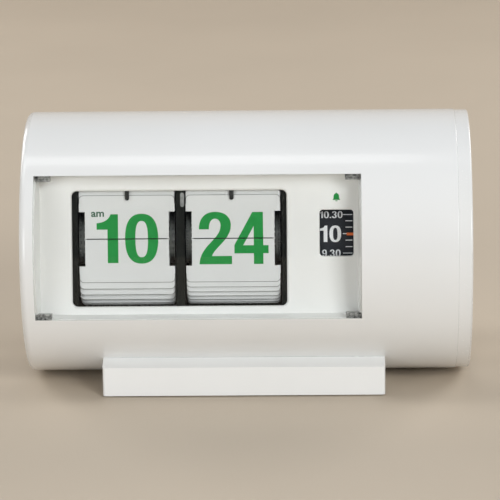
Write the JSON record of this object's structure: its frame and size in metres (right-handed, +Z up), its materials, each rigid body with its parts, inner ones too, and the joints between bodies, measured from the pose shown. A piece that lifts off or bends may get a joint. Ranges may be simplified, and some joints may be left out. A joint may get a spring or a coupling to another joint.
{
  "type": "flip alarm clock",
  "caption": "Round desk clock lying on a low stand, with split leaves that fall to show hours and minutes, and an alarm drum behind a wide curved window.",
  "frame": {"origin": "on the table, under the middle of the case", "axes": "+X along the case to the viewer's right, -Y towards the viewer of the face, +Z up"},
  "size_m": [0.17, 0.1004, 0.1021],
  "materials": {
    "case_white": "smooth gloss",
    "cap_white": "smooth gloss",
    "stand_white": "smooth gloss",
    "lens_clear": "clear polished",
    "face_white": "satin",
    "frame_black": "matt",
    "drum_black": "matt",
    "alarm_black": "matt",
    "leaf_grey": "matt sheet",
    "catch_grey": "blackened",
    "clip_dark": "satin",
    "guide_smoke": "frosted",
    "gear_ivory": "moulded",
    "steel": "turned",
    "brass": "turned",
    "pointer_orange": "smooth",
    "knob_white": "knurled rim",
    "switch_black": "matt",
    "board_green": "lacquered",
    "box_white": "moulded",
    "cell_wrap": "wrapped",
    "contact_plate": "plated",
    "foot_rubber": "matt"
  },
  "bodies": {
    "clock": {"alarm_bracket": "frame_black", "alarm_contact": "switch_black", "alarm_pointer": "pointer_orange", "alarm_switch_body": "switch_black", "base_screws": "steel", "base_stand": "stand_white", "battery_box": "box_white", "battery_cell": "cell_wrap", "battery_contacts": "contact_plate", "buzzer": "switch_black", "circuit_board": "board_green", "end_cap": "cap_white", "face_tray": "face_white", "frame_pillars": "steel", "frame_screws": "steel", "gear_bridge": "frame_black", "hour_leaf_catch": "catch_grey", "hour_leaves_fallen": "leaf_grey", "hour_leaves_standing": "leaf_grey", "leaf_guide": "guide_smoke", "left_plate": "frame_black", "lens_clips": "clip_dark", "mid_plate": "frame_black", "minute_leaf_catch": "catch_grey", "minute_leaves_fallen": "leaf_grey", "minute_leaves_standing": "leaf_grey", "quartz_motor": "switch_black", "right_plate": "frame_black", "rubber_feet": "foot_rubber", "tube_case": "case_white", "window_lens": "lens_clear"},
    "minute_drum": {"minute_drum": "drum_black", "minute_wheel": "gear_ivory", "minute_pinion": "gear_ivory"},
    "hour_drum": {"hour_drum": "drum_black", "hour_shaft": "steel", "hour_wheel": "gear_ivory"},
    "motion_gear": {"motion_wheel": "gear_ivory", "motion_pinion": "brass", "motion_arbor": "steel"},
    "time_setter": {"time_shaft": "steel", "time_wheel": "gear_ivory", "time_set_knob": "knob_white"},
    "motor_gear": {"motor_pinion": "brass"},
    "alarm_setter": {"alarm_drum": "alarm_black", "alarm_sleeve": "steel", "alarm_set_knob": "knob_white"},
    "hour_flap": {"hour_flap": "leaf_grey"},
    "minute_flap": {"minute_flap": "leaf_grey"},
    "alarm_switch": {"alarm_switch_button": "switch_black"},
    "battery_door": {"battery_door": "case_white"}
  },
  "joints": [
    {"name": "minute_drum_turn", "type": "hinge", "parent": "clock", "child": "minute_drum", "pos_m": [0, -0.01911, 0.05781], "axis": [1, 0, 0], "continuous": true},
    {"name": "hour_drum_turn", "type": "hinge", "parent": "clock", "child": "hour_drum", "pos_m": [0, -0.01911, 0.05781], "axis": [1, 0, 0], "continuous": true},
    {"name": "motion_gear_turn", "type": "hinge", "parent": "clock", "child": "motion_gear", "pos_m": [0, -0.01813, 0.0466], "axis": [1, 0, 0], "continuous": true},
    {"name": "time_set_turn", "type": "hinge", "parent": "clock", "child": "time_setter", "pos_m": [0, 0, 0.0519], "axis": [1, 0, 0], "continuous": true},
    {"name": "motor_gear_turn", "type": "hinge", "parent": "clock", "child": "motor_gear", "pos_m": [0, 0.01072, 0.0429], "axis": [1, 0, 0], "continuous": true},
    {"name": "alarm_set_turn", "type": "hinge", "parent": "clock", "child": "alarm_setter", "pos_m": [0, 0, 0.0519], "axis": [1, 0, 0], "continuous": true},
    {"name": "hour_flap_fall", "type": "hinge", "parent": "clock", "child": "hour_flap", "pos_m": [-0.0455, -0.02856, 0.05973], "axis": [1, 0, 0], "range_deg": [0, 180], "deforming": ["hour_leaf_catch"]},
    {"name": "minute_flap_fall", "type": "hinge", "parent": "clock", "child": "minute_flap", "pos_m": [-0.00515, -0.02856, 0.05973], "axis": [1, 0, 0], "range_deg": [0, 180], "deforming": ["minute_leaf_catch"]},
    {"name": "alarm_switch_slide", "type": "slide", "parent": "clock", "child": "alarm_switch", "axis": [0, 0.1736, 0.9848], "range_m": [0, 0.004]},
    {"name": "battery_door_pull", "type": "slide", "parent": "clock", "child": "battery_door", "axis": [0, 0.9848, -0.1736], "range_m": [0, 0.02]}
  ],
  "couplings": [
    {"joint": "hour_drum_turn", "follows": "minute_drum_turn", "ratio": 0.041667},
    {"joint": "motion_gear_turn", "follows": "minute_drum_turn", "ratio": -0.25},
    {"joint": "time_set_turn", "follows": "minute_drum_turn", "ratio": -0.66667},
    {"joint": "motor_gear_turn", "follows": "minute_drum_turn", "ratio": 4}
  ]
}
